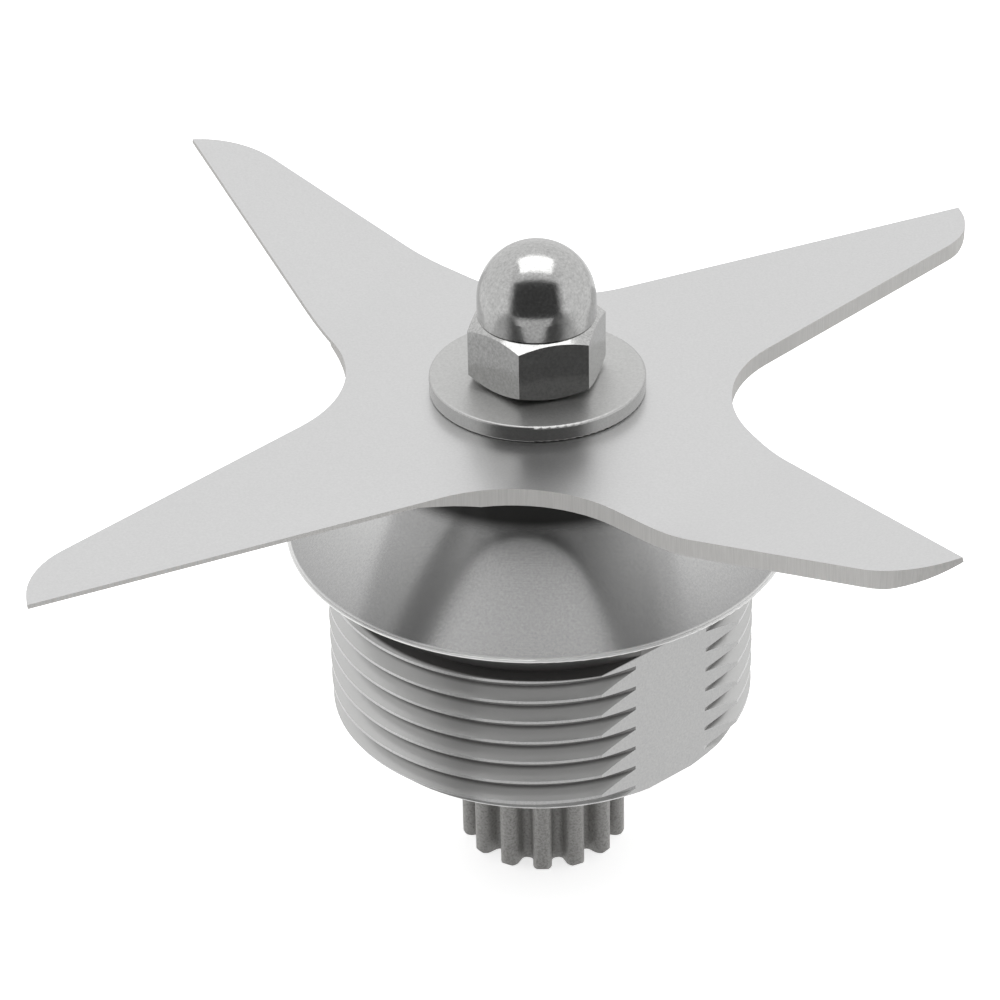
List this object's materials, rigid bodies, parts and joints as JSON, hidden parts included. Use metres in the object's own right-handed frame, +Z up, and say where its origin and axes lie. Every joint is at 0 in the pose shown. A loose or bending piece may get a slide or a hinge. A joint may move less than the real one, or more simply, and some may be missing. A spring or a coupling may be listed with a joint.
{
  "type": "blender blade assembly",
  "caption": "Stainless blender blade assembly: four-armed blade under a cap nut on a sealed ball bearing spindle, with a threaded housing and a toothed drive spline below.",
  "frame": {"origin": "on the spin axis, in the plane of the flange seat under the lip", "axes": "+Z up along the spin axis from the spline to the cap nut; -Y towards the viewer of the picture, +X to the right"},
  "size_m": [0.0596, 0.0592, 0.0455],
  "materials": {
    "polished_steel": "polished",
    "stainless_steel": "turned, fine circular lines",
    "blade_steel": "satin, tumbled",
    "shaft_steel": "ground",
    "sintered_steel": "matt, sintered",
    "bearing_steel": "ground and lapped",
    "shield_steel": "pressed sheet",
    "cage_plastic": "moulded nylon",
    "seal_rubber": "matt black",
    "phosphated_spring_steel": "black phosphate"
  },
  "bodies": {
    "housing": {"bearing_housing": "stainless_steel", "upper_bearing_outer_race": "bearing_steel", "lower_bearing_outer_race": "bearing_steel", "bearing_outer_spacer": "shaft_steel", "upper_bearing_shields": "shield_steel", "lower_bearing_shields": "shield_steel", "shaft_seal_case": "shaft_steel", "shaft_seal_lip": "seal_rubber", "shaft_seal_spring": "shaft_steel", "housing_retaining_ring": "phosphated_spring_steel"},
    "rotor": {"cap_nut": "polished_steel", "blade_washer": "stainless_steel", "blade": "blade_steel", "blade_spacer": "stainless_steel", "drive_shaft": "shaft_steel", "drive_spline": "sintered_steel", "upper_bearing_inner_race": "bearing_steel", "lower_bearing_inner_race": "bearing_steel", "bearing_inner_spacer": "shaft_steel"},
    "upper_ball_set": {"upper_bearing_balls": "bearing_steel", "upper_bearing_cage": "cage_plastic"},
    "lower_ball_set": {"lower_bearing_balls": "bearing_steel", "lower_bearing_cage": "cage_plastic"}
  },
  "joints": [
    {"name": "blade_spin", "type": "hinge", "parent": "housing", "child": "rotor", "pos_m": [0, 0, 0], "axis": [0, 0, 1], "continuous": true},
    {"name": "upper_balls_orbit", "type": "hinge", "parent": "housing", "child": "upper_ball_set", "pos_m": [0, 0, 0], "axis": [0, 0, 1], "continuous": true},
    {"name": "lower_balls_orbit", "type": "hinge", "parent": "housing", "child": "lower_ball_set", "pos_m": [0, 0, 0], "axis": [0, 0, 1], "continuous": true}
  ],
  "couplings": [
    {"joint": "upper_balls_orbit", "follows": "blade_spin", "ratio": 0.3889},
    {"joint": "lower_balls_orbit", "follows": "blade_spin", "ratio": 0.3889}
  ]
}
